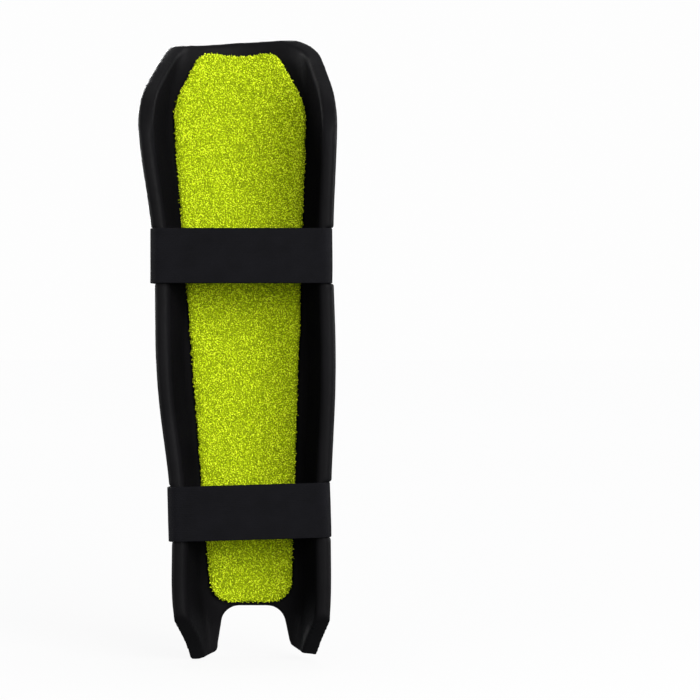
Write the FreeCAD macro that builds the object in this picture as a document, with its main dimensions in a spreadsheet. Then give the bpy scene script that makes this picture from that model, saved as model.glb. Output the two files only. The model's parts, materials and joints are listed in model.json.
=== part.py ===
"""Left-leg shin guard for field hockey: a moulded foam shell with a soft pad under a towelling liner,
held round the calf by two elastic straps that close with hook and loop on the outer side of the leg.

Frame, in millimetres: +Z up the shin, +Y towards the toes, -X towards the outer (lateral) side of the leg.
The origin is on the leg's axis, about level with the tips of the ankle prongs.
"""
import FreeCAD, Part
import math
import os

import Sketcher
from FreeCAD import Placement, Rotation, Vector

doc = FreeCAD.newDocument("shin_guard")
sheet = doc.addObject("Spreadsheet::Sheet", "Sizes")

START, END, CENTRE = 1, 2, 3
ROOT_POINT = -1
UP = Vector(0, 0, 1)
MADE = []

# ---------------------------------------------------------------- driving dimensions

SIZES = {
    "shell_wall": 10.5,
    "lip_radius": 4.7,
    "pad_thickness": 3.5,
    "liner_thickness": 2.0,
    "flare_lateral": 8.0,
    "flare_medial": 11.5,
    "front_radius": 66.0,
    "corner_radius": 28.0,
    "panel_hem": 3.0,
    "panel_edge": 11.5,
    "strap_width": 35.0,
    "strap_thickness": 2.0,
    "strap_bend": 5.0,
    "joint_gap": 0.3,
    "seat_gap": 0.4,
    "seat_margin": 0.4,
    "hook_thickness": 0.8,
    "hook_length": 20.0,
    "hook_margin": 2.0,
    "hook_start": 12.0,
    "loop_thickness": 1.2,
    "loop_length": 32.0,
    "loop_start": 6.0,
    "anchor_length": 26.0,
    "root_length": 4.0,
    "tab_length": 38.0,
    "pull_length": 8.0,
    "pull_skin": 0.5,
    "pull_overlap": 5.0,
    "stitch_length": 2.4,
    "stitch_pitch": 3.3,
    "stitch_width": 0.6,
    "stitch_height": 0.35,
    "stitch_inset": 2.2,
}

# Stations up the leg: height, lateral lip, medial lip, back of the lips, middle of the front,
# and the front of the shell
STATION_CELLS = ("height", "lateral", "medial", "back", "middle", "front")
STATIONS = [
    (-6, -47.1, 56.5, -18.0, 2.6, 57.5),
    (40, -47.8, 57.0, -19.0, 2.6, 53.5),
    (82, -48.1, 57.1, -20.0, 2.4, 51.0),
    (127, -50.8, 57.8, -21.0, 1.5, 50.0),
    (167, -55.9, 59.7, -21.8, 0.4, 50.4),
    (207, -58.6, 60.3, -22.7, -0.8, 51.6),
    (247, -59.0, 59.1, -24.0, -1.8, 53.0),
    (292, -61.9, 59.1, -26.0, -3.0, 54.8),
    (347, -69.2, 61.3, -28.0, -4.6, 57.0),
    (387, -67.3, 60.9, -27.5, -5.0, 58.8),
    (427, -66.2, 59.6, -26.5, -5.0, 60.5),
]

# Each strap: lower edge, tilt, then its inner faces beside the lateral lip, beside the medial lip
# and across the back
STRAP_CELLS = ("base", "tilt", "lateral", "medial", "back")
STRAPS = {
    "upper": (248.8, 0.0, -59.6, 56.1, -26.3),
    "lower": (82.8, 1.65, -48.6, 55.0, -21.5),
}


def fill_sheet():
    """Puts every driving dimension in the sheet, one aliased cell each."""
    cells = dict(SIZES)
    for i, station in enumerate(STATIONS):
        cells.update({f"{cell}_{i}": value for cell, value in zip(STATION_CELLS, station)})
    for strap, values in STRAPS.items():
        cells.update({f"{strap}_{cell}": value for cell, value in zip(STRAP_CELLS, values)})
    for row, (alias, value) in enumerate(cells.items(), start=1):
        sheet.set(f"A{row}", alias)
        sheet.set(f"B{row}", str(value))
        sheet.setAlias(f"B{row}", alias)
    doc.recompute()


def size(alias):
    return float(sheet.get(alias))


fill_sheet()

# ---------------------------------------------------------------- sketch helpers


def arc(centre, radius, from_degrees, to_degrees):
    """Anticlockwise arc in the sketch's plane."""
    circle = Part.Circle(centre, UP, radius)
    return Part.ArcOfCircle(circle, math.radians(from_degrees), math.radians(to_degrees))


def line(a, b):
    return Part.LineSegment(a, b)


def degrees_of(vector):
    return math.degrees(math.atan2(vector.y, vector.x))


def named(sketch, name, constraint, expression):
    """Adds a dimension to a sketch and binds it to the sheet."""
    index = sketch.addConstraint(Sketcher.Constraint(*constraint))
    sketch.renameConstraint(index, name)
    sketch.setExpression(f"Constraints.{name}", expression)


def outline(sketch, corners):
    """Closed anticlockwise outline through corners (u, v, rounding); 0 leaves a corner sharp."""
    points = [Vector(u, v, 0) for u, v, _ in corners]
    runs = []
    for i, (_, _, rounding) in enumerate(corners):
        before = (points[i - 1] - points[i]).normalize()
        after = (points[(i + 1) % len(points)] - points[i]).normalize()
        if not rounding:
            runs.append((points[i], points[i], None))
            continue
        half = before.getAngle(after) / 2
        setback = rounding / math.tan(half)
        centre = points[i] + (before + after).normalize() * (rounding / math.sin(half))
        first, last = points[i] + before * setback, points[i] + after * setback
        runs.append((first, last, (centre, rounding, before.cross(after).z < 0)))
    curves = []
    for i, (first, last, round_off) in enumerate(runs):
        if round_off:
            centre, radius, left_turn = round_off
            a, b = degrees_of(first - centre), degrees_of(last - centre)
            if left_turn:
                curves.append((arc(centre, radius, a, b), (START, END)))
            else:
                curves.append((arc(centre, radius, b, a), (END, START)))
        following = runs[(i + 1) % len(runs)][0]
        if last.distanceToPoint(following) > 1e-6:
            curves.append((line(last, following), (START, END)))
    base = sketch.GeometryCount
    for curve, _ in curves:
        sketch.addGeometry(curve, False)
    for i, (_, ends) in enumerate(curves):
        follower = (i + 1) % len(curves)
        sketch.addConstraint(
            Sketcher.Constraint("Coincident", base + i, ends[1], base + follower, curves[follower][1][0])
        )


def prism(name, rings, across, low, high, frame=Placement()):
    """Solid from low to high along an axis: 'Y' outlines are (x, z), 'X' (y, z) and 'Z' (x, y)."""
    sketch = doc.addObject("Sketcher::SketchObject", f"{name}_outline")
    for ring in rings:
        outline(sketch, ring)
    turn, direction = {
        "Y": (Rotation(Vector(1, 0, 0), 90), Vector(0, 1, 0)),
        "X": (Rotation(Vector(1, 1, 1), 120), Vector(1, 0, 0)),
        "Z": (Rotation(), Vector(0, 0, 1)),
    }[across]
    sketch.Placement = frame * Placement(direction * low, turn)
    solid = doc.addObject("Part::Extrusion", name)
    solid.Base = sketch
    solid.DirMode = "Custom"
    solid.Dir = frame.Rotation.multVec(direction)
    solid.LengthFwd = high - low
    solid.Solid = True
    return solid


def common(name, *solids):
    result = doc.addObject("Part::MultiCommon", name)
    result.Shapes = list(solids)
    return result


def cut(name, base, tool):
    result = doc.addObject("Part::Cut", name)
    result.Base, result.Tool = base, tool
    return result


def keep(thing, label):
    thing.Label = label
    MADE.append(thing)
    return thing


# ---------------------------------------------------------------- layers that follow the leg


def section(name, i, inset, cells, overrun):
    """Station i's section, moved in from the outer face by inset and run on past the lips by overrun."""
    sketch = doc.addObject("Sketcher::SketchObject", name)
    back = size(f"back_{i}") - overrun
    front_radius = size("front_radius") - inset
    corner_radius = size("corner_radius") - inset
    centre = Vector(size(f"middle_{i}"), size(f"front_{i}") - size("front_radius"), 0)
    sides = []
    for side, sign in (("lateral", -1), ("medial", 1)):
        flare = math.radians(size(f"flare_{side}"))
        lip_x = size(f"{side}_{i}") - sign * (inset / math.cos(flare) - overrun * math.tan(flare))
        lip = Vector(lip_x, back, 0)
        along = Vector(-sign * math.sin(flare), math.cos(flare), 0)
        inwards = Vector(-sign * math.cos(flare), -math.sin(flare), 0)
        # the corner's centre lies on the wall moved in by its radius, and inside the front arc by the rest
        start = lip + inwards * corner_radius - centre
        reach = front_radius - corner_radius
        middle = start.dot(along)
        travel = -middle + math.sqrt(middle**2 - start.dot(start) + reach**2)
        corner = centre + start + along * travel
        sides.append((lip, corner, corner - inwards * corner_radius))
    (left, left_corner, left_tangent), (right, right_corner, right_tangent) = sides
    right_turn = degrees_of(right_corner - centre)
    left_turn = degrees_of(left_corner - centre)
    for curve in (
        line(left, right),
        line(right, right_tangent),
        arc(right_corner, corner_radius, size("flare_medial"), right_turn),
        arc(centre, front_radius, right_turn, left_turn),
        arc(left_corner, corner_radius, left_turn, 180 - size("flare_lateral")),
        line(left, left_tangent),
    ):
        sketch.addGeometry(curve, False)
    for kind, *ends in (
        ("Coincident", 0, END, 1, START),
        ("Coincident", 0, START, 5, START),
        ("Tangent", 1, END, 2, START),
        ("Tangent", 2, END, 3, START),
        ("Tangent", 3, END, 4, START),
        ("Tangent", 4, END, 5, END),
        ("Horizontal", 0),
    ):
        sketch.addConstraint(Sketcher.Constraint(kind, *ends))
    shift = "({}) / cos(Sizes.flare_{}) - {} * tan(Sizes.flare_{})"
    lateral_shift = shift.format(cells, "lateral", overrun, "lateral")
    medial_shift = shift.format(cells, "medial", overrun, "medial")
    from_root = (ROOT_POINT, START)
    left_end = ("DistanceX", *from_root, 0, START, left.x)
    right_end = ("DistanceX", *from_root, 0, END, right.x)
    named(sketch, "lateral_x", left_end, f"Sizes.lateral_{i} + {lateral_shift}")
    named(sketch, "medial_x", right_end, f"Sizes.medial_{i} - ({medial_shift})")
    named(sketch, "back_y", ("DistanceY", *from_root, 0, START, back), f"Sizes.back_{i} - {overrun}")
    named(sketch, "middle_x", ("DistanceX", *from_root, 3, CENTRE, centre.x), f"Sizes.middle_{i}")
    front = ("DistanceY", *from_root, 3, CENTRE, centre.y)
    named(sketch, "front_y", front, f"Sizes.front_{i} - Sizes.front_radius")
    named(sketch, "medial_corner", ("Radius", 2, corner_radius), f"Sizes.corner_radius - ({cells})")
    named(sketch, "lateral_corner", ("Radius", 4, corner_radius), f"Sizes.corner_radius - ({cells})")
    named(sketch, "front_arc", ("Radius", 3, front_radius), f"Sizes.front_radius - ({cells})")
    lean_medial = math.radians(90 + size("flare_medial"))
    lean_lateral = math.radians(90 - size("flare_lateral"))
    named(sketch, "medial_lean", ("Angle", 1, lean_medial), "90 deg + Sizes.flare_medial * 1 deg")
    named(sketch, "lateral_lean", ("Angle", 5, lean_lateral), "90 deg - Sizes.flare_lateral * 1 deg")
    sketch.setExpression("Placement.Base.z", f"Sizes.height_{i}")
    return sketch


def leg_form(name, *layers, overrun=0):
    """Everything inside the shell's outer face moved in by the named layers, as one solid."""
    inset = sum(size(layer) for layer in layers)
    cells = " + ".join(f"Sizes.{layer}" for layer in layers) or "0"
    form = doc.addObject("Part::Loft", name)
    form.Sections = [section(f"{name}_{i}", i, inset, cells, overrun) for i in range(len(STATIONS))]
    form.Solid = True
    return form


# ---------------------------------------------------------------- strap geometry


class Strap:
    """Plan of one strap, with points beside each wall given along it and out from the inner face."""

    def __init__(self, name):
        self.name = name
        self.width = size("strap_width")
        self.thickness = size("strap_thickness")
        middle = size(f"{name}_base") + self.width / 2
        self.frame = Placement(Vector(0, 0, middle), Rotation(Vector(0, 1, 0), -size(f"{name}_tilt")))
        self.sides = {}
        for side, sign in (("lateral", -1), ("medial", 1)):
            flare = math.radians(size(f"flare_{side}"))
            corner = Vector(size(f"{name}_{side}"), size(f"{name}_back"), 0)
            along = Vector(-sign * math.sin(flare), math.cos(flare), 0)
            outwards = Vector(sign * math.cos(flare), math.sin(flare), 0)
            self.sides[side] = (corner, along, outwards, flare)

    def beside(self, side, along_by, out_by):
        corner, along, outwards, _ = self.sides[side]
        return corner + along * along_by + outwards * out_by

    def corner(self, side, out_by, back_by):
        """Where the strap's corner is when its faces move out from the wall and back from the calf."""
        _, _, _, flare = self.sides[side]
        along_by = -(back_by + out_by * math.sin(flare)) / math.cos(flare)
        return self.beside(side, along_by, out_by)

    def bend_end(self, side):
        """Distance from the inner corner at which the bend round the lip ends."""
        *_, flare = self.sides[side]
        return size("strap_bend") / math.tan((math.pi / 2 - flare) / 2)

    def pivot(self, side):
        """Distance from the inner corner to the hinge line."""
        straight = size("root_length") if side == "medial" else self.thickness / 2 + size("joint_gap")
        return self.bend_end(side) + straight

    def solid(self, name, ring, low=None, high=None):
        low = -self.width / 2 if low is None else low
        high = self.width / 2 if high is None else high
        return prism(f"{self.name}_{name}", [ring], "Z", low, high, self.frame)

    def slab(self, name, side, span, depth, low=None, high=None, rounding=(0, 0)):
        """Flat piece beside a wall; span runs along the wall, depth out from the strap's inner face."""
        (first, last), (inner, outer) = span, depth
        ring = [
            (*self.beside(side, first, inner)[:2], rounding[0]),
            (*self.beside(side, last, inner)[:2], rounding[1]),
            (*self.beside(side, last, outer)[:2], rounding[1]),
            (*self.beside(side, first, outer)[:2], rounding[0]),
        ]
        return self.solid(name, ring, low, high)


straps = [Strap(name) for name in STRAPS]

# ---------------------------------------------------------------- foam shell

outer_form = leg_form("outer_form")
wall_form = leg_form("wall_form", "shell_wall", overrun=10)
blank = cut("shell_blank", outer_form, wall_form)
doc.recompute()

lips = doc.addObject("Part::Fillet", "shell_lips")
lips.Base = blank
lips.Edges = [
    (number, size("lip_radius"), size("lip_radius"))
    for number, edge in enumerate(blank.Shape.Edges, start=1)
    if edge.BoundBox.ZLength > 400 and edge.BoundBox.YMax < -10
]

# seen from the calf: a top edge that rises towards the inner side, and prongs with their tips outermost
back_view = prism(
    "back_view",
    [
        [
            (-95, -1.6, 0), (-33, -1.6, 5), (-16, 4.9, 0), (25, 9.2, 0), (35.5, 3.6, 8), (48, 1.8, 0),
            (95, 1.8, 0), (95, 416.4, 0), (-8, 413.6, 80), (-95, 404.7, 0),
        ]
    ],
    "Y", -120, 120,
)
# seen from the side: the wings and the prongs are cut away towards the front
side_view = prism(
    "side_view",
    [
        [
            (-19.4, 31.0, 12), (41.9, -7, 0), (90, -7, 0), (90, 440, 0), (80, 414.6, 0),
            (45, 414.6, 12), (14, 394.5, 40), (-29, 364.5, 50),
        ]
    ],
    "X", -120, 120,
)
trimmed = common("shell_trimmed", lips, back_view, side_view)

# the arch over the instep, open at the bottom between the two prongs
notch = prism(
    "notch",
    [
        [
            (-22.5, -14, 0), (36, -14, 0), (32.0, 0.8, 6), (27.8, 9.6, 8),
            (22.8, 33.2, 12), (-16.8, 33.2, 12), (-21, 7.6, 4),
        ]
    ],
    "Y", -120, 120,
)
shell = cut("shell_notched", trimmed, notch)

for strap in straps:
    grip = size("hook_thickness")
    inset = {"lateral": grip + size("joint_gap"), "medial": grip}
    gap = size("seat_gap")
    round_off = size("strap_bend") - gap
    near = {side: strap.corner(side, -inset[side], -gap) for side in inset}
    far = {side: strap.beside(side, 150, -inset[side]) for side in inset}
    seat_path = [
        (*near["lateral"][:2], round_off),
        (*near["medial"][:2], round_off),
        (*far["medial"][:2], 0),
        (*far["lateral"][:2], 0),
    ]
    around = [(-160, -160, 0), (160, -160, 0), (160, 124, 0), (-160, 124, 0)]
    reach = size("strap_width") / 2 + size("seat_margin")
    path = prism(f"{strap.name}_path", [seat_path], "Z", -reach - 1, reach + 1, strap.frame)
    block = prism(f"{strap.name}_block", [around], "Z", -reach, reach, strap.frame)
    seat = cut(f"{strap.name}_seat", block, path)
    shell = cut(f"shell_{strap.name}_seat", shell, seat)
    for side, depth in inset.items():
        span = (size("loop_start"), size("loop_start") + size("loop_length"))
        sheet_depth = (-depth - size("loop_thickness"), -depth)
        recess = strap.slab(f"{side}_recess", side, span, (sheet_depth[0], 12))
        shell = cut(f"shell_{strap.name}_{side}", shell, recess)
        keep(strap.slab(f"{side}_loop", side, span, sheet_depth), f"{strap.name}_{side}_loop_patch")
keep(shell, "foam_shell")

# ---------------------------------------------------------------- pad and liner

pad_form = leg_form("pad_form", "shell_wall", "pad_thickness", overrun=10)
liner_form = leg_form("liner_form", "shell_wall", "pad_thickness", "liner_thickness", overrun=10)


def panel(name, inset):
    """Solid with the panel's outline as seen from the calf, moved in from its edge by inset."""
    corners = [
        (-24.4 + inset, 36.2 + inset, 15),
        (28.8 - inset, 36.2 + inset, 15),
        (39.4 - inset, 367.5, 45),
        (18.4 - inset / 2, 405.5 - inset, 10),
        (-5.0, 403.0 - inset, 60),
        (-32.2 + inset / 2, 405.2 - inset, 11),
        (-49.4 + inset, 367.0, 45),
    ]
    return prism(name, [corners], "Y", size("panel_edge") + inset, 120)


lined = cut("lined_layer", wall_form, liner_form)
padded = cut("padded_layer", wall_form, pad_form)
pad = common("pad_cut", padded, panel("pad_panel", size("panel_hem")))
cover = common("cover_cut", lined, panel("liner_panel", 0))
keep(pad, "comfort_foam")
keep(cut("liner_cut", cover, pad), "towelling_liner")

# ---------------------------------------------------------------- straps

for strap in straps:
    thickness, gap = strap.thickness, size("joint_gap")
    half = thickness / 2
    grip = size("hook_thickness")

    # band: round end on the medial hinge, bends round both lips, flat end short of the lateral hinge
    medial_end = strap.pivot("medial") + half
    lateral_end = strap.pivot("lateral") - half - gap
    bend = size("strap_bend")
    band = [
        (*strap.beside("medial", medial_end, 0)[:2], half),
        (*strap.corner("medial", 0, 0)[:2], bend),
        (*strap.corner("lateral", 0, 0)[:2], bend),
        (*strap.beside("lateral", lateral_end, 0)[:2], 0),
        (*strap.beside("lateral", lateral_end, thickness)[:2], 0),
        (*strap.corner("lateral", thickness, thickness)[:2], bend + thickness),
        (*strap.corner("medial", thickness, thickness)[:2], bend + thickness),
        (*strap.beside("medial", medial_end, thickness)[:2], half),
    ]
    keep(strap.solid("band", band), f"{strap.name}_strap_band")

    # anchor: the fixed end of the same strap, held on the medial loop patch
    start = medial_end + gap
    end = start + size("anchor_length")
    margin = size("hook_margin")
    anchor = strap.slab("anchor", "medial", (start, end), (0, thickness), rounding=(0.9 * half, 0))
    keep(anchor, f"{strap.name}_strap_anchor")
    edge = strap.width / 2 - margin
    hooked = (start + margin, end - margin)
    keep(strap.slab("anchor_hook", "medial", hooked, (-grip, 0), -edge, edge), f"{strap.name}_anchor_hook")

    # tab: folds forward over the lateral loop patch
    start = strap.pivot("lateral") - half
    end = start + half + size("tab_length")
    tab = strap.slab("tab", "lateral", (start, end), (0, thickness), rounding=(half, 0))
    keep(tab, f"{strap.name}_strap_tab")
    hook_start = strap.pivot("lateral") + size("hook_start")
    hooked = (hook_start, hook_start + size("hook_length"))
    keep(strap.slab("hook", "lateral", hooked, (-grip, 0), -edge, edge), f"{strap.name}_closure_hook")

    # pull tab: a tape folded over the strap's free end
    skin = size("pull_skin")
    grip_start = end - size("pull_overlap")
    grip_end = grip_start + size("pull_length")
    tape = [
        (*strap.beside("lateral", grip_start, -skin)[:2], 0),
        (*strap.beside("lateral", grip_end, -skin)[:2], 1.2),
        (*strap.beside("lateral", grip_end, thickness + skin)[:2], 1.2),
        (*strap.beside("lateral", grip_start, thickness + skin)[:2], 0),
        (*strap.beside("lateral", grip_start, thickness)[:2], 0),
        (*strap.beside("lateral", end, thickness)[:2], 0),
        (*strap.beside("lateral", end, 0)[:2], 0),
        (*strap.beside("lateral", grip_start, 0)[:2], 0),
    ]
    keep(strap.solid("pull", tape), f"{strap.name}_pull_tab")

    # stitching: a rectangle of short threads on the outer face, over each hook patch
    for side, span, label in (("lateral", hooked, "tab"), ("medial", None, "anchor")):
        if side == "medial":
            start = medial_end + gap
            span = (start + margin, start + size("anchor_length") - margin)
        inset = size("stitch_inset") - margin
        first, last = span[0] + inset + 1, span[1] - inset - 1
        height = edge - inset - 1
        long, wide, proud = size("stitch_length"), size("stitch_width"), size("stitch_height")
        threads = []
        pitch = size("stitch_pitch")
        columns = int((last - first) / pitch)
        rows = int(2 * height / pitch)
        for k in range(columns + 1):
            middle = first + (last - first) * (k + 0.5) / (columns + 1)
            for z in (-height, height):
                threads.append((middle, z, long, wide))
        for k in range(rows + 1):
            z = -height + 2 * height * (k + 0.5) / (rows + 1)
            for middle in (first, last):
                threads.append((middle, z, wide, long))
        _, along, outwards, _ = strap.sides[side]
        solids = []
        for middle, z, run, tall in threads:
            box = Part.makeBox(run, proud, tall, Vector(-run / 2, 0, -tall / 2))
            turn = Rotation(along, outwards, Vector(0, 0, 1), "XYZ")
            spot = strap.beside(side, middle, thickness)
            box.Placement = strap.frame * Placement(Vector(spot.x, spot.y, z), turn)
            solids.append(box)
        stitching = doc.addObject("Part::Feature", f"{strap.name}_{label}_stitching")
        stitching.Shape = Part.makeCompound(solids)
        keep(stitching, f"{strap.name}_{label}_stitching")

doc.recompute()

# ---------------------------------------------------------------- checks and export

for thing in doc.Objects:
    if "Invalid" in thing.State or "Error" in thing.State:
        raise RuntimeError(f"{thing.Label} did not compute: {thing.State}")
for thing in MADE:
    if thing.Shape.isNull() or not thing.Shape.isValid():
        raise RuntimeError(f"{thing.Label} has no valid shape")

os.makedirs("parts", exist_ok=True)
for thing in MADE:
    thing.Shape.exportStep(f"parts/{thing.Label}.step")
    box = thing.Shape.BoundBox
    print(
        f"{thing.Label:28s} {len(thing.Shape.Solids):3d} solids {thing.Shape.Volume:10.1f} mm3"
        f"  x {box.XMin:7.1f} {box.XMax:7.1f}  y {box.YMin:7.1f} {box.YMax:7.1f}"
        f"  z {box.ZMin:7.1f} {box.ZMax:7.1f}"
    )
for strap in straps:
    for side in ("medial", "lateral"):
        pivot = strap.frame.multVec(strap.beside(side, strap.pivot(side), strap.thickness / 2))
        axis = strap.frame.Rotation.multVec(UP)
        where = [round(v, 3) for v in pivot]
        print(strap.name, side, "hinge at", where, "axis", [round(v, 5) for v in axis])
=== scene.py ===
"""Looks for the left-leg shin guard: moulded black foam, lime towelling, charcoal elastic straps."""

import json
import math

import bmesh
import bpy
import numpy as np
import openvdb
from mathutils import Matrix, Vector, noise


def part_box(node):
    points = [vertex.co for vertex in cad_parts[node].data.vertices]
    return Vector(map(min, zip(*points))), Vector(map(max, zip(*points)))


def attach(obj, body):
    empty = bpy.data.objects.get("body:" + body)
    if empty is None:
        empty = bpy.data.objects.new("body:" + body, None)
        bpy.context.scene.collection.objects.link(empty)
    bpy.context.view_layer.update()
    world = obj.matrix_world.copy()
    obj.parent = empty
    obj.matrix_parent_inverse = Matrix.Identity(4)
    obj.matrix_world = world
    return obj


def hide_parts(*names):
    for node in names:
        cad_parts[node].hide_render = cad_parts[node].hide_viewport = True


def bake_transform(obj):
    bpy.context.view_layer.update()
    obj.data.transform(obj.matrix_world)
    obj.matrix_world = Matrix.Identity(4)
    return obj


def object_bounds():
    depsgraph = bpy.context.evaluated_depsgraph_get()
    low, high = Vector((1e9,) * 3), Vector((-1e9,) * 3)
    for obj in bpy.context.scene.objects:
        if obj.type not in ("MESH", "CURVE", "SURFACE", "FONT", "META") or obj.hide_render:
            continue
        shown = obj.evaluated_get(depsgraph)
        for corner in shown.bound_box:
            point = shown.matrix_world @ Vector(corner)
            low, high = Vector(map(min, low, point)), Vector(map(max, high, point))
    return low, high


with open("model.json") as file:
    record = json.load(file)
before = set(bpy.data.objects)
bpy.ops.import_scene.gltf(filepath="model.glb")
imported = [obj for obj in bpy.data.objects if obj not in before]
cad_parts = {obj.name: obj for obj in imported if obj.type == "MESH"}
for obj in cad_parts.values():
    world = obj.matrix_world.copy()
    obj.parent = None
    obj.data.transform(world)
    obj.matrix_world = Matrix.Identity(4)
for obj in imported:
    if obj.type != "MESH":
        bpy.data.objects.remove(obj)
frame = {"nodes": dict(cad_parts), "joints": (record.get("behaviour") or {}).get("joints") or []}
cad_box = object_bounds()

MM = 0.001
scene = bpy.context.scene

# ---------------------------------------------------------------- camera and light

CAMERA_BACK = 1.6
CAMERA_AT = (0.0684, -CAMERA_BACK, 0.2054)
SENSOR_WIDTH = 36.0
PICTURE_WIDTH = 0.4592  # what the picture spans at the leg's axis
GUARD_MIDDLE = Vector((0, 0, 0.21))


def calf_side_camera():
    """Level camera behind the calf, at the photograph's distance and framing."""
    data = bpy.data.cameras.new("camera")
    data.sensor_width = SENSOR_WIDTH
    data.lens = SENSOR_WIDTH * CAMERA_BACK / PICTURE_WIDTH
    data.clip_end = 50
    camera = bpy.data.objects.new("camera", data)
    camera.location = CAMERA_AT
    camera.rotation_euler = (math.radians(90), 0, 0)
    scene.collection.objects.link(camera)
    scene.camera = camera


def area_light(name, at, size, power):
    """A soft lamp that faces the middle of the guard."""
    data = bpy.data.lights.new(name, "AREA")
    data.shape = "RECTANGLE"
    data.size, data.size_y = size
    data.energy = power
    light = bpy.data.objects.new(name, data)
    light.location = at
    light.rotation_euler = (GUARD_MIDDLE - Vector(at)).to_track_quat("-Z", "Y").to_euler()
    scene.collection.objects.link(light)
    return light


def studio_world(seen, lighting):
    """A white room to look at that lights the object only softly."""
    world = bpy.data.worlds.new("studio")
    scene.world = world
    world.use_nodes = True
    tree = world.node_tree
    soft = tree.nodes["Background"]
    soft.inputs["Color"].default_value = (0.92, 0.95, 1.0, 1)
    soft.inputs["Strength"].default_value = lighting
    white = tree.nodes.new("ShaderNodeBackground")
    white.inputs["Color"].default_value = (1, 1, 1, 1)
    white.inputs["Strength"].default_value = seen
    mix = tree.nodes.new("ShaderNodeMixShader")
    tree.links.new(tree.nodes.new("ShaderNodeLightPath").outputs["Is Camera Ray"], mix.inputs["Fac"])
    tree.links.new(soft.outputs["Background"], mix.inputs[1])
    tree.links.new(white.outputs["Background"], mix.inputs[2])
    tree.links.new(mix.outputs["Shader"], tree.nodes["World Output"].inputs["Surface"])


calf_side_camera()
scene.view_settings.view_transform = "Standard"
area_light("key", (1.15, -2.1, 0.78), (1.4, 1.4), 100)
area_light("fill", (-0.9, -2.1, 0.45), (1.4, 1.0), 20)
area_light("top", (0.2, 0.1, 2.1), (1.2, 1.2), 12)
RIM_LIGHTS = [
    area_light("front", (-0.7, 2.1, 1.0), (1.0, 1.6), 170),
    area_light("outer_side", (-2.2, 0.7, 0.9), (0.8, 1.6), 70),
    area_light("inner_side", (2.2, 0.7, 0.9), (0.8, 1.6), 70),
]
studio_world(seen=0.985, lighting=0.2)

# ---------------------------------------------------------------- material helpers


class Shader:
    """A principled material with a few shorthand calls for its node tree."""

    def __init__(self, name, roughness, specular):
        self.material = bpy.data.materials.new(name)
        self.material.use_nodes = True
        self.tree = self.material.node_tree
        self.bsdf = self.tree.nodes["Principled BSDF"]
        self.bsdf.inputs["Roughness"].default_value = roughness
        self.bsdf.inputs["Specular IOR Level"].default_value = specular

    def node(self, kind, **settings):
        """A new node, its settings named after its properties or its sockets."""
        made = self.tree.nodes.new(kind)
        for key, value in settings.items():
            if hasattr(made, key):
                setattr(made, key, value)
            else:
                made.inputs[key].default_value = value
        return made

    def link(self, source, target):
        self.tree.links.new(source, target)

    def object_position(self):
        return self.node("ShaderNodeTexCoord").outputs["Object"]

    def noise(self, scale, detail, roughness, position=None):
        texture = self.node("ShaderNodeTexNoise", Scale=scale, Detail=detail, Roughness=roughness)
        self.link(position or self.object_position(), texture.inputs["Vector"])
        return texture.outputs["Fac"]

    def ramp(self, source, stops):
        made = self.node("ShaderNodeValToRGB")
        elements = made.color_ramp.elements
        while len(elements) < len(stops):
            elements.new(0.5)
        for element, (place, colour) in zip(elements, stops):
            element.position = place
            element.color = (*colour, 1)
        self.link(source, made.inputs["Fac"])
        return made.outputs["Color"]

    def spread(self, source, low, high, from_low, from_high):
        """The source's values between from_low and from_high, spread out between low and high."""
        made = self.node("ShaderNodeMapRange")
        made.inputs["From Min"].default_value = from_low
        made.inputs["From Max"].default_value = from_high
        made.inputs["To Min"].default_value = low
        made.inputs["To Max"].default_value = high
        self.link(source, made.inputs["Value"])
        return made.outputs["Result"]

    def math(self, operation, a, b=0):
        made = self.node("ShaderNodeMath", operation=operation)
        for socket, value in zip(made.inputs, (a, b)):
            if isinstance(value, (int, float)):
                socket.default_value = value
            else:
                self.link(value, socket)
        return made.outputs["Value"]

    def bump(self, height, strength, distance, below=None):
        made = self.node("ShaderNodeBump", Strength=strength, Distance=distance)
        self.link(height, made.inputs["Height"])
        if below is not None:
            self.link(below, made.inputs["Normal"])
        return made.outputs["Normal"]

    def colour(self, source):
        self.link(source, self.bsdf.inputs["Base Color"])

    def rough(self, source):
        self.link(source, self.bsdf.inputs["Roughness"])

    def normal(self, source):
        self.link(source, self.bsdf.inputs["Normal"])


# ---------------------------------------------------------------- mesh helpers


def mesh_piece(name, points, faces):
    """Smooth-shaded object from an array of points and a list of faces."""
    mesh = bpy.data.meshes.new(name)
    mesh.from_pydata([tuple(p) for p in points], [], [tuple(f) for f in faces])
    mesh.validate()
    mesh.update()
    mesh.shade_smooth()
    piece = bpy.data.objects.new(name, mesh)
    scene.collection.objects.link(piece)
    return piece


def face_outwards(mesh):
    """Turns every face of a closed mesh outwards."""
    bm = bmesh.new()
    bm.from_mesh(mesh)
    bmesh.ops.recalc_face_normals(bm, faces=bm.faces)
    bm.to_mesh(mesh)
    bm.free()


def solid_piece(name, points, faces, crisp_from):
    """A closed mesh_piece whose edges stay crisp where they turn by more than crisp_from degrees."""
    piece = mesh_piece(name, points, faces)
    face_outwards(piece.data)
    piece.data.set_sharp_from_angle(angle=math.radians(crisp_from))
    return piece


def sleeve(first, count, steps):
    """Faces that join rings of count points each, row after row, from the point first on."""
    faces = []
    for row in range(first, first + steps * count, count):
        for k in range(count):
            n = (k + 1) % count
            faces.append((row + k, row + n, row + count + n, row + count + k))
    return faces


def read_vectors(items, field_name):
    """One row of three numbers for each item of a mesh's vertices, normals or faces."""
    flat = np.empty(len(items) * 3, np.float32)
    items.foreach_get(field_name, flat)
    return flat.reshape(-1, 3).astype(float)


def read_points(mesh):
    return read_vectors(mesh.vertices, "co")


def write_points(mesh, points):
    mesh.vertices.foreach_set("co", np.asarray(points, np.float32).ravel())
    mesh.update()


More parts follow.
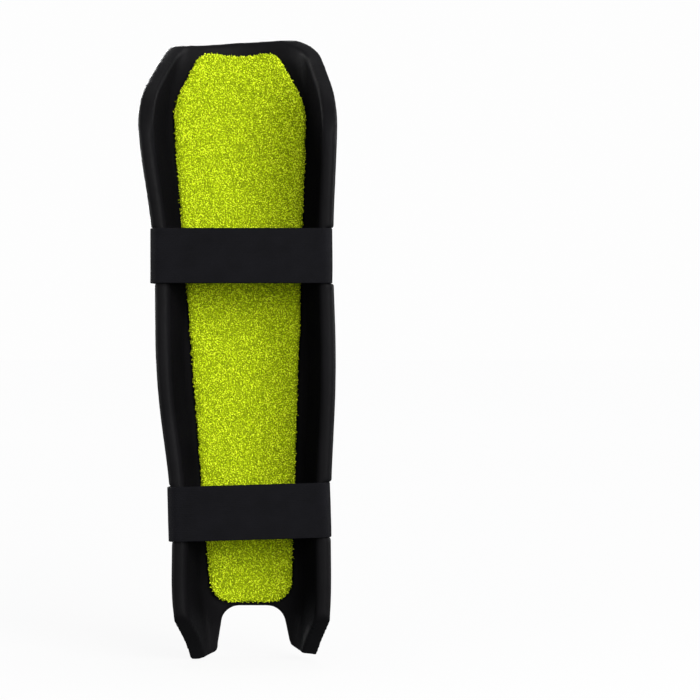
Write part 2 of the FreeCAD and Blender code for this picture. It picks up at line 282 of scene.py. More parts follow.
def write_pile_shade(mesh, values):
    """How high in the pile each point stands, which the towelling's colour follows as painted shade: dark
    low in the pile, lime towards the top.
    """
    pile = mesh.attributes.new("pile", "FLOAT", "POINT")
    pile.data.foreach_set("value", values.astype(np.float32))


def distance_field(points, faces, voxel, reach):
    """Signed distance to a closed mesh of triangles or quads, known as far as reach from its surface."""
    kind = {3: "triangles", 4: "quads"}[faces.shape[1]]
    return openvdb.FloatGrid.createLevelSetFromPolygons(
        points.astype(np.float32),
        transform=openvdb.createLinearTransform(voxelSize=voxel),
        halfWidth=reach / voxel,
        **{kind: faces.astype(np.uint32)},
    )


def node_field(node, voxel, reach):
    mesh = frame["nodes"][node].data
    mesh.calc_loop_triangles()
    faces = np.empty(len(mesh.loop_triangles) * 3, np.int32)
    mesh.loop_triangles.foreach_get("vertices", faces)
    return distance_field(read_points(mesh), faces.reshape(-1, 3), voxel, reach)


class Block:
    """A box of evenly spaced distances, for mixing fields that were made apart."""

    def __init__(self, node, voxel, margin):
        low, high = (np.array(corner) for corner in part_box(node))
        self.voxel = voxel
        self.first = tuple(int(i) for i in np.floor((low - margin) / voxel))
        self.shape = tuple(np.ceil((high + margin) / voxel).astype(int) - self.first)

    def read(self, grid, offset=0.0):
        """The grid's distances, for its surface moved outwards by the offset."""
        values = np.zeros(self.shape, np.float32)
        grid.copyToArray(values, ijk=self.first)
        return values - offset

    def read_rounded(self, grid, radius, grown=0.0):
        """Distances with the outer edges rounded: moved in by the radius, then out again.

        What the grid was grown by before is taken off on the way in.
        """
        inner = distance_field(*grid.convertToQuads(-radius - grown), self.voxel, radius + 3 * self.voxel)
        return self.read(inner, radius)

    def heights(self):
        return (np.arange(self.shape[2]) + self.first[2]) * self.voxel

    def past_corner(self, centre, across, up):
        """Distance past a corner rounded as a quarter of an ellipse, for a panel seen from the calf."""
        x = (np.arange(self.shape[0]) + self.first[0])[:, None, None] * self.voxel - centre[0]
        z = self.heights()[None, None, :] - centre[1]
        distance = (np.hypot(x / across, z / up) - 1) * min(across, up)
        return np.where((x < 0) & (z < 0), distance, -1).astype(np.float32)

    def even_along_leg(self, values, spread):
        """Distances averaged up and down the leg, which takes the waver out of long thin rims."""
        cells = spread / self.voxel
        steps = np.arange(-int(3 * cells), int(3 * cells) + 1)
        weights = np.exp(-0.5 * (steps / cells) ** 2)
        weights /= weights.sum()
        padded = np.pad(values, ((0, 0), (0, 0), (len(steps) // 2,) * 2), mode="edge")
        height = self.shape[2]
        return sum(weight * padded[:, :, k : k + height] for k, weight in enumerate(weights))

    def surface(self, values, level=0.0):
        """Points and quads of the surface where the distances pass through the level."""
        made = openvdb.FloatGrid(float(values.max()))
        made.transform = openvdb.createLinearTransform(voxelSize=self.voxel)
        made.copyFromArray(np.ascontiguousarray(values, np.float32), ijk=self.first)
        return made.convertToQuads(level)


def smoothstep(values, low, high):
    t = np.clip((values - low) / (high - low), 0, 1)
    return t * t * (3 - 2 * t)


RELAX_ROUNDS = 8
RELAX_IN, RELAX_OUT = 0.5, -0.53  # how far each half of a round moves a point towards its neighbours


def relax(mesh):
    """Taubin smoothing: takes the voxel steps off and keeps the walls where they are."""
    edges = np.empty(len(mesh.edges) * 2, np.int32)
    mesh.edges.foreach_get("vertices", edges)
    a, b = edges.reshape(-1, 2).T
    points = read_points(mesh)
    count = np.bincount(a, minlength=len(points)) + np.bincount(b, minlength=len(points))
    for step in (RELAX_IN, RELAX_OUT) * RELAX_ROUNDS:
        mean = np.empty_like(points)
        for k in range(3):
            mean[:, k] = np.bincount(a, points[b, k], len(points))
            mean[:, k] += np.bincount(b, points[a, k], len(points))
        points += step * (mean / count[:, None] - points)
    write_points(mesh, points)


def wobble(points, scale, seed):
    """Smooth noise from -1 to 1 at each point, about scale across."""
    offset = Vector((seed * 17.3, seed * 5.1, seed * 9.7))
    return np.array([noise.noise(Vector(p) / scale + offset) for p in points])


# ---------------------------------------------------------------- materials


def foam_material():
    """Closed-cell foam with a matt moulded skin."""
    made = Shader("moulded_foam", roughness=0.5, specular=0.032)
    patches = made.noise(28, 4, 0.6)
    made.colour(
        made.ramp(patches, [(0.3, (0.0032, 0.0031, 0.0034)), (0.7, (0.0050, 0.0048, 0.0054))])
    )
    skin = made.noise(900, 3, 0.6)
    pores = made.noise(2600, 2, 0.5)
    made.rough(made.spread(skin, 0.42, 0.58, 0.3, 0.7))
    grain = made.bump(skin, 0.35, 0.00022)
    made.normal(made.bump(pores, 0.25, 0.00008, below=grain))
    return made.material


def towelling_material():
    """Lime cotton, with painted shade between the loops and at their roots that fades to bright lime towards
    their tips.
    """
    made = Shader("lime_towelling", roughness=0.9, specular=0.1)
    # painted shade: the pile attribute darkens the lime low in the pile, between the loops
    height = made.node("ShaderNodeAttribute", attribute_name="pile").outputs["Fac"]
    strand = made.noise(1400, 2, 0.6)
    clumps = made.noise(210, 3, 0.6)
    shade = made.math("ADD", height, made.spread(strand, -0.3, 0.3, 0.3, 0.7))
    shade = made.math("ADD", shade, made.spread(clumps, -0.06, 0.06, 0.3, 0.7))
    # the darker stops are painted shade low in the pile, the lighter ones the lime towards the tips
    made.colour(
        made.ramp(
            shade,
            [
                (0.0, (0.13, 0.17, 0.001)),
                (0.3, (0.29, 0.38, 0.002)),
                (0.62, (0.60, 0.76, 0.006)),
                (1.0, (0.86, 0.97, 0.04)),
            ],
        )
    )
    made.normal(made.bump(strand, 0.5, 0.0003))
    return made.material


# the elastic's weave, in millimetres
RIB_PITCH = 1.15
WEFT_PITCH = 0.9
STAGGER = 0.45


def elastic_material():
    """Woven elastic: fine ribs along the strap, crossed by the weft."""
    made = Shader("charcoal_elastic", roughness=0.82, specular=0.05)
    uv = made.node("ShaderNodeUVMap", uv_map="strap").outputs["UV"]
    split = made.node("ShaderNodeSeparateXYZ")
    made.link(uv, split.inputs["Vector"])
    along = made.math("MULTIPLY", split.outputs["X"], 1000.0)
    across = made.math("MULTIPLY", split.outputs["Y"], 1000.0)
    ribs = made.math("SINE", made.math("MULTIPLY", across, 2 * math.pi / RIB_PITCH))
    row = made.math("FLOOR", made.math("DIVIDE", across, RIB_PITCH))
    staggered = made.math("ADD", along, made.math("MULTIPLY", row, STAGGER))
    weft = made.math("SINE", made.math("MULTIPLY", staggered, 2 * math.pi / WEFT_PITCH))
    weave = made.math("ADD", made.math("MULTIPLY", ribs, 0.55), made.math("MULTIPLY", weft, 0.45))
    fuzz = made.noise(2200, 2, 0.6, position=uv)
    worn = made.noise(60, 4, 0.6, position=uv)
    woven_tone = made.spread(weave, 0.25, 0.6, -1, 1)
    tone = made.math("ADD", woven_tone, made.spread(worn, -0.25, 0.25, 0.3, 0.7))
    made.colour(
        made.ramp(tone, [(0.0, (0.0026, 0.0026, 0.0032)), (1.0, (0.0054, 0.0053, 0.0068))])
    )
    woven = made.bump(weave, 0.45, 0.00012)
    made.normal(made.bump(fuzz, 0.3, 0.00008, below=woven))
    return made.material


def fibrous_material(name, low, high, roughness):
    """Black tape or soft foam with a fine fibrous face, mottled between two tones."""
    made = Shader(name, roughness, specular=0.15)
    fibres = made.noise(1500, 3, 0.65)
    made.colour(made.ramp(fibres, [(0.3, low), (0.7, high)]))
    made.normal(made.bump(fibres, 0.5, 0.0002))
    return made.material


def thread_material():
    """Twisted polyester thread with a slight shine."""
    made = Shader("black_thread", roughness=0.55, specular=0.4)
    twist = made.noise(2400, 2, 0.5)
    made.colour(made.ramp(twist, [(0.3, (0.006, 0.006, 0.007)), (0.7, (0.016, 0.016, 0.018))]))
    made.normal(made.bump(twist, 0.6, 0.00015))
    return made.material


FOAM = foam_material()
TOWELLING = towelling_material()
ELASTIC = elastic_material()
TAPE_BLACK = (0.003, 0.003, 0.0035)
HOOK = fibrous_material("hook_tape", TAPE_BLACK, (0.007, 0.007, 0.008), 0.45)
LOOP = fibrous_material("loop_tape", TAPE_BLACK, (0.011, 0.011, 0.0125), 0.95)
BINDING = fibrous_material("binding_tape", TAPE_BLACK, (0.008, 0.008, 0.009), 0.8)
THREAD = thread_material()
PAD = fibrous_material("pad_foam", (0.005, 0.005, 0.005), (0.01, 0.01, 0.01), 0.9)


def dress(piece, material, body, slot, *replaced):
    """Gives a piece its material and the body it rides on, and hides the CAD nodes it stands for; the slot
    is not used.
    """
    piece.data.materials.append(material)
    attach(piece, body)
    if replaced:
        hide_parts(*replaced)


# ---------------------------------------------------------------- foam shell

# the mould leaves the upper wings with fully round rims, and trims the prongs to crisp edges
WING_RADIUS, TRIM_RADIUS = 2.4 * MM, 0.5 * MM
WING_FROM, WING_TO = 0.300, 0.330
SHELL_VOXEL = 1.2 * MM
CAD_VOXEL = 0.7 * MM


def moulded_shell():
    block = Block("foam_shell", SHELL_VOXEL, 6 * MM)
    source = node_field("foam_shell", CAD_VOXEL, WING_RADIUS + 2 * MM)
    trimmed = block.read_rounded(source, TRIM_RADIUS)
    winged = block.read_rounded(source, WING_RADIUS)
    share = smoothstep(block.heights(), WING_FROM, WING_TO)
    piece = mesh_piece("moulded_shell", *block.surface(trimmed * (1 - share) + winged * share))
    relax(piece.data)
    dress(piece, FOAM, "guard", "shell_foam", "foam_shell")


moulded_shell()

# ---------------------------------------------------------------- towelling panel

LINER_VOXEL = 1.05 * MM
RIM_RADIUS = 2.2 * MM
SEAM = 0.5 * MM  # closes the hairline between the liner and its pad while the rim is rounded
RIM_WAVER = 6 * MM  # length over which the rim is evened, away from the panel's two ends
EVENED_FROM, EVENED_TO = (0.055, 0.075), (0.345, 0.365)
# the panel's lower outer corner, as a quarter of an ellipse
CORNER_CENTRE, CORNER_ACROSS, CORNER_UP = (-13 * MM, 58 * MM), 13 * MM, 22 * MM
PAD_CLEARANCE = 0.1 * MM


def rounded_liner():
    """The liner with a soft, even rim, hollow where the pad lies."""
    block = Block("towelling_liner", LINER_VOXEL, 5 * MM)
    fine = Block("towelling_liner", CAD_VOXEL, 5 * MM)
    liner = fine.read(node_field("towelling_liner", CAD_VOXEL, 4 * MM))
    pad = fine.read(node_field("comfort_foam", CAD_VOXEL, 4 * MM))
    joined = fine.surface(np.minimum(liner, pad), SEAM)
    whole = distance_field(*joined, CAD_VOXEL, RIM_RADIUS + 2 * MM)
    outside = block.read_rounded(whole, RIM_RADIUS, grown=SEAM)
    heights = block.heights()
    share = smoothstep(heights, *EVENED_FROM) * (1 - smoothstep(heights, *EVENED_TO))
    outside = outside * (1 - share) + block.even_along_leg(outside, RIM_WAVER) * share
    outside = np.maximum(outside, block.past_corner(CORNER_CENTRE, CORNER_ACROSS, CORNER_UP))
    cavity = block.read(node_field("comfort_foam", LINER_VOXEL, 4 * MM), PAD_CLEARANCE)
    piece = mesh_piece("towelling_panel", *block.surface(np.maximum(outside, -cavity)))
    relax(piece.data)
    return piece


def towelling_panel():
    """The liner's cloth, its face moved by fine noise where it looks back at the leg."""
    piece = rounded_liner()
    points, normals = read_points(piece.data), read_vectors(piece.data.vertex_normals, "vector")
    facing_leg = np.clip(-normals[:, 1] * 1.5 + 0.2, 0, 1)
    puff = wobble(points, 4 * MM, 1) * 0.15 + wobble(points, 1.7 * MM, 2) * 0.3
    points += normals * (facing_leg * (0.15 + puff) * MM)[:, None]
    write_points(piece.data, points)
    # painted shade between the loops: the panel's face sits low in the pile, a little lighter on its puffs
    write_pile_shade(piece.data, 0.12 + 0.12 * puff)
    dress(piece, TOWELLING, "guard", "towelling", "towelling_liner")
    piece.visible_glossy = False  # matt foam takes no mirror image of the lime
    return piece


# a loop of pile: three rings of three points, given as shares of its height, lean and width, and its tip
TUFT_RINGS = [(0.0, 0.0, 1.0), (0.55, 0.25, 0.95), (0.9, 0.75, 0.62)]
TUFT_TIP = (0.86, 1.15)
# painted shade at each loop's root, lighter up the loop to its tip
TUFT_PAINTED_SHADE = [0.1] * 3 + [0.5] * 3 + [0.8] * 3 + [1.0]  # how bright each of its points is
TUFT_POINTS = len(TUFT_PAINTED_SHADE)
TUFT_HEIGHT, TUFT_WIDTH = 1.2 * MM, 0.85 * MM
TUFT_SHARE = 0.8  # of the panel's faces


def tufts(name, roots, directions, height):
    """Short curled loops of pile: tapered three-sided stalks that lean and curl over."""
    rng = np.random.default_rng(3)
    count = len(roots)
    side = np.cross(directions, rng.normal(size=(count, 3)))
    side /= np.linalg.norm(side, axis=1)[:, None]
    other = np.cross(directions, side)
    lean_angle = rng.uniform(0, 2 * math.pi, count)
    lean = side * np.cos(lean_angle)[:, None] + other * np.sin(lean_angle)[:, None]
    tall = height * rng.uniform(0.65, 1.25, count)
    wide = TUFT_WIDTH * rng.uniform(0.8, 1.2, count)
    bow = rng.uniform(0.25, 1.0, count)

    def middle(up, over):
        return roots + directions * (tall * up)[:, None] + lean * (tall * over * bow)[:, None]

    layers = []
    for up, over, girth in TUFT_RINGS:
        for k in range(3):
            turn = 2 * math.pi * k / 3
            around = side * math.cos(turn) + other * math.sin(turn)
            layers.append(middle(up, over) + around * (wide * girth / 2)[:, None])
    layers.append(middle(*TUFT_TIP))
    points = np.stack(layers, axis=1).reshape(-1, 3)
    tip = TUFT_POINTS - 1
    one_tuft = sleeve(0, 3, 2) + [(6 + k, 6 + (k + 1) % 3, tip) for k in range(3)]
    faces = []
    for base in range(0, count * TUFT_POINTS, TUFT_POINTS):
        faces += [tuple(base + corner for corner in face) for face in one_tuft]
    piece = mesh_piece(name, points, faces)
    tone = np.repeat(rng.uniform(-0.4, 0.4, count), TUFT_POINTS)
    # painted shade at the roots, plus each loop's own random tone
    write_pile_shade(piece.data, np.tile(TUFT_PAINTED_SHADE, count) * 0.62 + 0.24 + tone)
    dress(piece, TOWELLING, "guard", "towelling")
    piece.visible_glossy = False


def towelling_pile(panel):
    """Tufts on the panel's faces that look back at the leg, shorter round its rim."""
    rng = np.random.default_rng(7)
    centres = read_vectors(panel.polygons, "center")
    normals = read_vectors(panel.polygons, "normal")
    chosen = np.flatnonzero((normals[:, 1] < -0.15) & (rng.random(len(normals)) < TUFT_SHARE))
    centres, normals = centres[chosen], normals[chosen]
    spots = centres + rng.normal(scale=0.28 * MM, size=centres.shape)
    backwards = np.array([0.0, -1.0, 0.0])
    lifts = normals * 0.6 + backwards * 0.6 + rng.normal(scale=0.3, size=centres.shape)
    lifts /= np.linalg.norm(lifts, axis=1)[:, None]
    tall = TUFT_HEIGHT * (0.45 + 0.55 * np.clip(-normals[:, 1] * 1.6, 0, 1))
    upwards = np.argsort(spots[:, 2])
    for part, half in zip(("lower", "upper"), np.array_split(upwards, 2)):
        roots = spots[half] - lifts[half] * 0.25 * MM
        tufts(f"towelling_pile_{part}", roots, lifts[half], tall[half])


towelling_pile(towelling_panel().data)

# the soft pad is sealed between the shell and the towelling; it keeps its own CAD shape
frame["nodes"]["comfort_foam"].data.materials.clear()
frame["nodes"]["comfort_foam"].data.materials.append(PAD)

# ---------------------------------------------------------------- strap geometry

FLARE = {"medial": math.radians(11.5), "lateral": math.radians(8.0)}
THICK = 2.0 * MM
BEND = 6.0 * MM  # radius of the strap's middle layer where it turns round a lip
BEND_STEPS = 12
PATH_STEP = 1.5 * MM
JOINTS = {joint["name"]: joint for joint in frame["joints"]}


def straight_run(start, end, normal):
    """Evenly spaced points, each with its normal, from start to just short of end."""
    count = max(2, int((end - start).length / PATH_STEP))
    return [(start.lerp(end, k / count), normal) for k in range(count)]


def bent_run(start, end, centre):
    """The same round an arc about the centre."""
    first, last = start - centre, end - centre
    turn, axis = first.angle(last), first.cross(last).normalized()
    run = []
    for k in range(BEND_STEPS):
        swung = Matrix.Rotation(turn * k / BEND_STEPS, 3, axis) @ first
        run.append((centre + swung, swung.normalized()))
    return run


class StrapFrame:
    """A strap's own axes: x across the calf, y forward, z up its width, all from the inner-side hinge."""

    def __init__(self, name):
        self.name = name
        swing, peel = JOINTS[f"{name}_strap_swing"], JOINTS[f"{name}_tab_peel"]
        self.up = Vector(swing["axis"]).normalized()
        self.origin = Vector(swing["pos_m"])
        self.forward = Vector((0, 1, 0))
        self.side = self.forward.cross(self.up)
        self.pivots = {"medial": Vector((0, 0, 0)), "lateral": self.to_local(Vector(peel["pos_m"]))}
        band = self.local_points(f"{name}_strap_band")
        self.half = max(abs(p.z) for p in band)
        self.back = min(p.y for p in band) + THICK / 2
        self.along, self.out = {}, {}
        for side, sign in (("medial", 1), ("lateral", -1)):
            lean, square = math.sin(FLARE[side]), math.cos(FLARE[side])
            self.along[side] = Vector((-sign * lean, square, 0))
            self.out[side] = Vector((sign * square, lean, 0))

    def to_local(self, point):
        p = point - self.origin
        return Vector((p.dot(self.side), p.dot(self.forward), p.dot(self.up)))

    def to_shared(self, p):
        """A local point in the shared frame."""
        return self.origin + self.side * p[0] + self.forward * p[1] + self.up * p[2]

    def on_wall(self, side, run, depth, height):
        """The shared-frame point that lies that far along, out of and up one side's wall."""
        local = self.pivots[side] + self.along[side] * run + self.out[side] * depth
        return self.to_shared(local + Vector((0, 0, height)))

    def local_points(self, node):
        return [self.to_local(v.co) for v in frame["nodes"][node].data.vertices]

    def span(self, node, side):
        """How far a node reaches along a wall from that side's hinge, out of the wall, and up it."""
        near = [p - self.pivots[side] for p in self.local_points(node)]
        run = [p.dot(self.along[side]) for p in near]
        depth = [p.dot(self.out[side]) for p in near]
        height = [p.z for p in near]
        return (min(run), max(run)), (min(depth), max(depth)), (min(height), max(height))

    def midline(self, anchor_end, tab_end):
        """Points and outward normals of the strap's middle layer, from the anchor's end to the tab's end."""
        stops = [self.pivots["medial"] + self.along["medial"] * anchor_end]
        for side in ("medial", "lateral"):
            pivot, along = self.pivots[side], self.along[side]
            stops.append(pivot + along * ((self.back - pivot.y) / along.y))
        stops.append(self.pivots["lateral"] + self.along["lateral"] * tab_end)
        path = []
        start = stops[0]
        for index, normal in ((1, self.out["medial"]), (2, Vector((0, -1, 0)))):
            corner = stops[index]
            before = (stops[index - 1] - corner).normalized()
            after = (stops[index + 1] - corner).normalized()
            half = before.angle(after) / 2
            setback = BEND / math.tan(half)
            centre = corner + (before + after).normalized() * (BEND / math.sin(half))
            bend_start, bend_end = corner + before * setback, corner + after * setback
            path += straight_run(start, bend_start, normal)
            path += bent_run(bend_start, bend_end, centre)
            start = bend_end
        path += straight_run(start, stops[3], self.out["lateral"])
        path.append((stops[3], self.out["lateral"]))
        return path


# ---------------------------------------------------------------- strap runs

STRAP_EDGE = 0.5 * MM
STRAP_SPREAD = 0.35 * MM  # how far each edge passes the CAD strap's, still inside its seat
TAB_SHORT = 0.5 * MM  # how far the drawn tab stops before the CAD one's end, inside the pull tab
STRAP_COLUMNS = 24
EDGE_STEPS = 6
RIPPLE = 0.22 * MM
CROWN = 0.10 * MM


def strap_section(half):
    """Closed ring of (out, up) round the strap's cross-section, its two edges rounded."""
    ring = []
    flat = half - STRAP_EDGE
    for sign in (1, -1):
        for k in range(STRAP_COLUMNS + 1):
            ring.append((sign * THICK / 2, sign * (-flat + 2 * flat * k / STRAP_COLUMNS)))
        for k in range(1, EDGE_STEPS):
            a = math.pi * k / EDGE_STEPS
            ring.append((sign * THICK / 2 * math.cos(a), sign * (flat + STRAP_EDGE * math.sin(a))))
    return ring


def strap_run(name, strap, path, start_along):
    """The strap's section swept along part of its midline, with metres along and across it as its UVs."""
    ring = strap_section(strap.half + STRAP_SPREAD)
    count = len(ring)
    lengths = [start_along]
    for (a, _), (b, _) in zip(path, path[1:]):
        lengths.append(lengths[-1] + (b - a).length)
    ripple_seed = {"upper": 4.2, "lower": 9.1}[strap.name]
    points = []
    for (middle, normal), travelled in zip(path, lengths):
        for out, up in ring:
            proud = 0
            if out > 0:
                ripple = RIPPLE * noise.noise(Vector((travelled * 34, up * 60, ripple_seed)))
                proud = ripple + CROWN * (1 - (up / strap.half) ** 2)
            points.append(strap.to_shared(middle + normal * (out + proud) + Vector((0, 0, up))))
    girth = [0.0]
    for (a, b), (c, d) in zip(ring, ring[1:] + ring[:1]):
        girth.append(girth[-1] + math.hypot(c - a, d - b))
    uvs = []
    for here, there in zip(lengths, lengths[1:]):
        for below, above in zip(girth, girth[1:]):
            uvs += [(here, below), (here, above), (there, above), (there, below)]
    uvs += [(lengths[0], up) for _, up in reversed(ring)]
    uvs += [(lengths[-1], up) for _, up in ring]
    last = (len(path) - 1) * count
    caps = [tuple(reversed(range(count))), tuple(range(last, last + count))]

    mesh = bpy.data.meshes.new(name)
    mesh.from_pydata([tuple(p) for p in points], [], sleeve(0, count, len(path) - 1) + caps)
    layer = mesh.uv_layers.new(name="strap")
    layer.data.foreach_set("uv", np.array(uvs, np.float32).ravel())
    mesh.update()
    face_outwards(mesh)
    mesh.shade_smooth()
    mesh.set_sharp_from_angle(angle=math.radians(50))
    piece = bpy.data.objects.new(name, mesh)
    scene.collection.objects.link(piece)
    piece.data.materials.append(ELASTIC)
    return piece


def strap_runs(name, strap):
    """The strap in two runs that meet in the middle of the calf, each bending at its own fold."""
    (_, anchor_end), _, _ = strap.span(f"{name}_strap_anchor", "medial")
    (_, tab_end), _, _ = strap.span(f"{name}_strap_tab", "lateral")
    path = strap.midline(anchor_end, tab_end - TAB_SHORT)
    middle_x = (strap.pivots["medial"].x + strap.pivots["lateral"].x) / 2
    on_back = [k for k, (_, normal) in enumerate(path) if normal.y < -0.999]
    seam = min(on_back, key=lambda k: abs(path[k][0].x - middle_x))
    travelled = sum((b[0] - a[0]).length for a, b in zip(path[: seam + 1], path[1 : seam + 1]))

    inner_run = strap_run(f"{name}_strap_inner_run", strap, path[: seam + 1], 0)
    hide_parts(f"{name}_strap_anchor", f"{name}_strap_band")
    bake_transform(inner_run)

    outer_run = strap_run(f"{name}_strap_outer_run", strap, path[seam:], travelled)
    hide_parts(f"{name}_strap_tab")
    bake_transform(outer_run)


# ---------------------------------------------------------------- strap fittings

LOOP_CELL, LOOP_NAP, LOOP_EDGE = 0.55 * MM, 0.35 * MM, 0.5 * MM
HOOK_BACKING = 0.35 * MM
HOOK_PITCH, HOOK_STAGGER = 1.25 * MM, 0.3 * MM
# how far in the first hook stands, and how much of a row's length is left free of hooks
HOOK_INSET, HOOK_MARGIN = 0.9 * MM, 1.2 * MM
HOOK_SIDES = 5
PULL_ROWS, PULL_COLUMNS, FOLD_STEPS = 140, 8, 8
PULL_EDGE, RIB_DEPTH = 0.8 * MM, 0.09 * MM
THREAD_STEPS, THREAD_SIDES = 6, 6
THREAD_HALF_WIDTH, THREAD_HALF_HEIGHT = 0.27 * MM, 0.19 * MM


def loop_tape(name, strap, side, node):
    """Loop tape over the CAD node's own slab, with round edges and a fibrous face that dips below it."""
    (s0, s1), (d0, d1), (z0, z1) = strap.span(node, side)
    columns = max(6, int((s1 - s0) / LOOP_CELL))
    rows = max(6, int((z1 - z0) / LOOP_CELL))
    across = columns + 1
    edge = min(LOOP_EDGE, (d1 - d0) / 2)

    def cell(index):
        j, i = divmod(index, across)
        return s0 + (s1 - s0) * i / columns, z0 + (z1 - z0) * j / rows

    points, faces = [], []
    for index in range(across * (rows + 1)):
        s, z = cell(index)
        rim = min(s - s0, s1 - s, z - z0, z1 - z)
        fall = edge * (1 - min(1, rim / (2 * edge))) ** 2
        fuzz = LOOP_NAP * (noise.noise(Vector((s * 900, z * 900, 3.0))) - 0.4) if rim > 0 else 0
        points.append(strap.on_wall(side, s, d1 + min(fuzz, 0) - fall, z))
    for j in range(rows):
        for a in range(j * across, j * across + columns):
            faces.append((a, a + 1, a + 1 + across, a + across))
    border = (
        list(range(across))
        + [j * across + columns for j in range(1, rows + 1)]
        + [rows * across + i for i in range(columns - 1, -1, -1)]
        + [j * across for j in range(rows - 1, 0, -1)]
    )
    foot = len(points)
    for index in border:
        s, z = cell(index)
        points.append(strap.on_wall(side, s, d0, z))
    for k in range(len(border)):
        n = (k + 1) % len(border)
        faces.append((border[k], border[n], foot + n, foot + k))
    faces.append(tuple(range(foot, foot + len(border))))
    return solid_piece(name, points, faces, crisp_from=60)


def hook_tape(name, strap, side, node):
    """Moulded hook tape: a thin backing with rows of small round-headed hooks on the side that grips."""
    (s0, s1), (d0, d1), (z0, z1) = strap.span(node, side)
    backing = d1 - HOOK_BACKING
    points, faces = [], []
    for d in (backing, d1):
        for s, z in ((s0, z0), (s1, z0), (s1, z1), (s0, z1)):
            points.append(strap.on_wall(side, s, d, z))
    faces += [(0, 1, 2, 3), (7, 6, 5, 4), (0, 4, 5, 1), (1, 5, 6, 2), (2, 6, 7, 3), (3, 7, 4, 0)]
    # each hook's rings, from its root to its crown: depth, and radius in millimetres
    profile = [(backing, 0.16), (d0 + 0.18 * MM, 0.14), (d0 + 0.14 * MM, 0.38), (d0 + 0.02 * MM, 0.26)]
    for i in range(int((s1 - s0 - HOOK_MARGIN) / HOOK_PITCH)):
        for j in range(int((z1 - z0 - HOOK_MARGIN) / HOOK_PITCH)):
            s = s0 + HOOK_INSET + i * HOOK_PITCH + (HOOK_STAGGER if j % 2 else 0)
            z = z0 + HOOK_INSET + j * HOOK_PITCH
            faces += sleeve(len(points), HOOK_SIDES, len(profile) - 1)
            for d, radius in profile:
                for k in range(HOOK_SIDES):
                    a = 2 * math.pi * k / HOOK_SIDES
                    s_out, z_out = radius * MM * math.cos(a), radius * MM * math.sin(a)
                    points.append(strap.on_wall(side, s + s_out, d, z + z_out))
            faces.append(tuple(range(len(points) - HOOK_SIDES, len(points))))
    return solid_piece(name, points, faces, crisp_from=40)


def pull_tab(name, strap, node):
    """Ribbed tape folded over the strap's free end."""
    (s0, s1), (d0, d1), (z0, z1) = strap.span(node, "lateral")
    radius = (d1 - d0) / 2
    middle = (d0 + d1) / 2
    body = s1 - radius - s0
    flat = [s0 + body * k / PULL_COLUMNS for k in range(PULL_COLUMNS)]
    ring = [(s, radius) for s in flat]
    for k in range(FOLD_STEPS + 1):
        a = math.pi / 2 - math.pi * k / FOLD_STEPS
        ring.append((s1 - radius + radius * math.cos(a), radius * math.sin(a)))
    ring += [(s, -radius) for s in reversed(flat)]
    count = len(ring)
    points = []
    for j in range(PULL_ROWS + 1):
        z = z0 + (z1 - z0) * j / PULL_ROWS
        edge = min(z - z0, z1 - z)
        shrink = 1 - 0.35 * (1 - min(1, edge / PULL_EDGE)) ** 2
        rib = RIB_DEPTH * (0.5 + 0.5 * math.cos(2 * math.pi * z / (RIB_PITCH * MM)))
        for s, d in ring:
            depth = math.copysign(max(abs(d) - rib, 0), d) * shrink
            points.append(strap.on_wall("lateral", s, middle + depth, z))
    last = PULL_ROWS * count
    faces = sleeve(0, count, PULL_ROWS) + [tuple(range(count)), tuple(range(last, last + count))]
    return solid_piece(name, points, faces, crisp_from=50)


def islands(mesh):
    """The separate solids of a mesh, each as an array of points."""
    parent = list(range(len(mesh.vertices)))

    def root(i):
        while parent[i] != i:
            parent[i] = parent[parent[i]]
            i = parent[i]
        return i

    keys = {}
    for v in mesh.vertices:
        key = tuple(round(c, 6) for c in v.co)
        if key in keys:
            parent[root(v.index)] = root(keys[key])
        keys[key] = v.index
    for e in mesh.edges:
        parent[root(e.vertices[0])] = root(e.vertices[1])
    groups = {}
    for v in mesh.vertices:
        groups.setdefault(root(v.index), []).append(v.co)
    return [np.array(group) for group in groups.values()]


def stitches(name, strap, side, node):
    """Sewing thread: each stitch dips into the strap at both ends and stands up between them."""

    def direction(local):
        return np.array((strap.side * local.x + strap.forward * local.y).normalized())

    out, along, up = direction(strap.out[side]), direction(strap.along[side]), np.array(strap.up)
    points, faces = [], []
    for group in islands(frame["nodes"][node].data):
        centre = (group.max(0) + group.min(0)) / 2
        run = np.ptp(group @ along)
        rise = np.ptp(group @ up)
        long_way, length = (along, run) if run > rise else (up, rise)
        across = np.cross(out, long_way)
        root_level = (group @ out).min()
        centre = centre + out * (root_level - centre @ out)
        first = len(points)
        for i in range(THREAD_STEPS + 1):
            t = i / THREAD_STEPS
            lift = (0.16 - 0.34 * (2 * t - 1) ** 4) * MM
            middle = centre + long_way * (t - 0.5) * length * 1.08 + out * lift
            for k in range(THREAD_SIDES):
                a = 2 * math.pi * k / THREAD_SIDES
                sideways = across * math.cos(a) * THREAD_HALF_WIDTH
                points.append(middle + sideways + out * math.sin(a) * THREAD_HALF_HEIGHT)
        faces += sleeve(first, THREAD_SIDES, THREAD_STEPS)
        faces.append(tuple(range(first, first + THREAD_SIDES)))
        faces.append(tuple(range(len(points) - THREAD_SIDES, len(points))))
    piece = mesh_piece(name, points, faces)
    face_outwards(piece.data)
    return piece


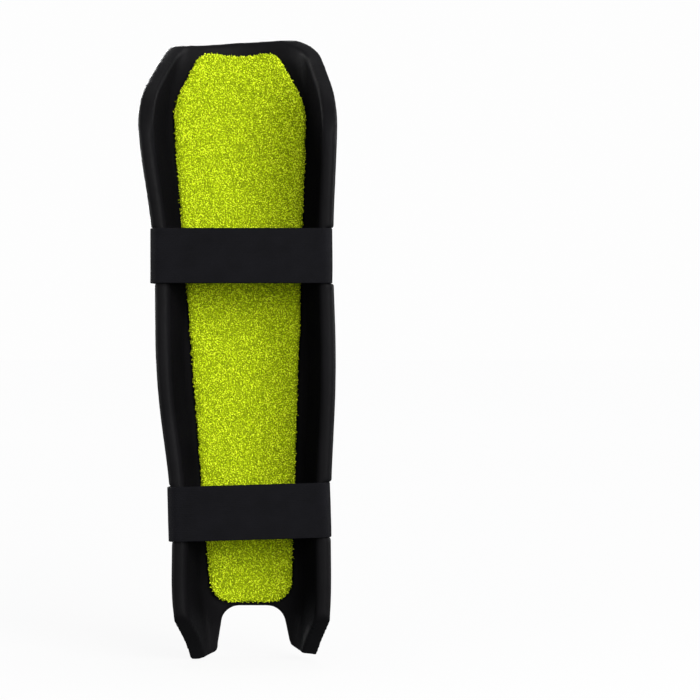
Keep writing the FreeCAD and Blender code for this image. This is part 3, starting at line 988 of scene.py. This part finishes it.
def strap_fittings(name, strap):
    """Hook tape, loop tape, pull tab and stitching of one strap."""
    tab = f"{name}_tab"
    for side, body, patch in (("lateral", tab, "closure_hook"), ("medial", "guard", "anchor_hook")):
        node = f"{name}_{patch}"
        dress(hook_tape(f"{node}_tape", strap, side, node), HOOK, body, "hook_tape", node)
        node = f"{name}_{side}_loop_patch"
        dress(loop_tape(f"{node}_pile", strap, side, node), LOOP, "guard", "loop_tape", node)
    node = f"{name}_pull_tab"
    dress(pull_tab(f"{node}_tape", strap, node), BINDING, tab, "binding_tape", node)
    for side, body, part in (("lateral", tab, "tab"), ("medial", "guard", "anchor")):
        node = f"{name}_{part}_stitching"
        dress(stitches(f"{node}_thread", strap, side, node), THREAD, body, "thread", node)


for name in ("upper", "lower"):
    strap = StrapFrame(name)
    strap_runs(name, strap)
    strap_fittings(name, strap)

# ---------------------------------------------------------------- floor and finish

FLOOR_GLOW = [(0.0, 0.904), (0.25, 0.934), (0.5, 0.951), (1.0, 0.963)]  # share of FLOOR_FAR, and tone
FLOOR_FAR = 4.0


def pale_floor():
    """Paper that glows a little more further off, so that it meets the white room with no edge."""
    bpy.ops.mesh.primitive_plane_add(size=200, location=(0, 0, cad_box[0][2] - 0.2 * MM))
    floor = bpy.context.object
    floor.name = "floor"
    paper = Shader("floor_paper", roughness=0.9, specular=0.0)
    paper.bsdf.inputs["Base Color"].default_value = (0.08, 0.08, 0.08, 1)
    paper.bsdf.inputs["Emission Strength"].default_value = 1.0
    away = paper.node("ShaderNodeVectorMath", operation="LENGTH")
    paper.link(paper.object_position(), away.inputs[0])
    far = paper.spread(away.outputs["Value"], 0, 1, 0.0, FLOOR_FAR)
    glow = paper.ramp(far, [(share, (tone,) * 3) for share, tone in FLOOR_GLOW])
    paper.link(glow, paper.bsdf.inputs["Emission Color"])
    floor.data.materials.append(paper.material)
    floor.visible_diffuse = False
    floor.visible_glossy = False
    # the rim lights pass it by, so that they leave no bright patches behind the guard
    passed_by = bpy.data.collections.new("passed_by")
    passed_by.objects.link(floor)
    passed_by.collection_objects[0].light_linking.link_state = "EXCLUDE"
    for light in RIM_LIGHTS:
        light.light_linking.receiver_collection = passed_by


pale_floor()
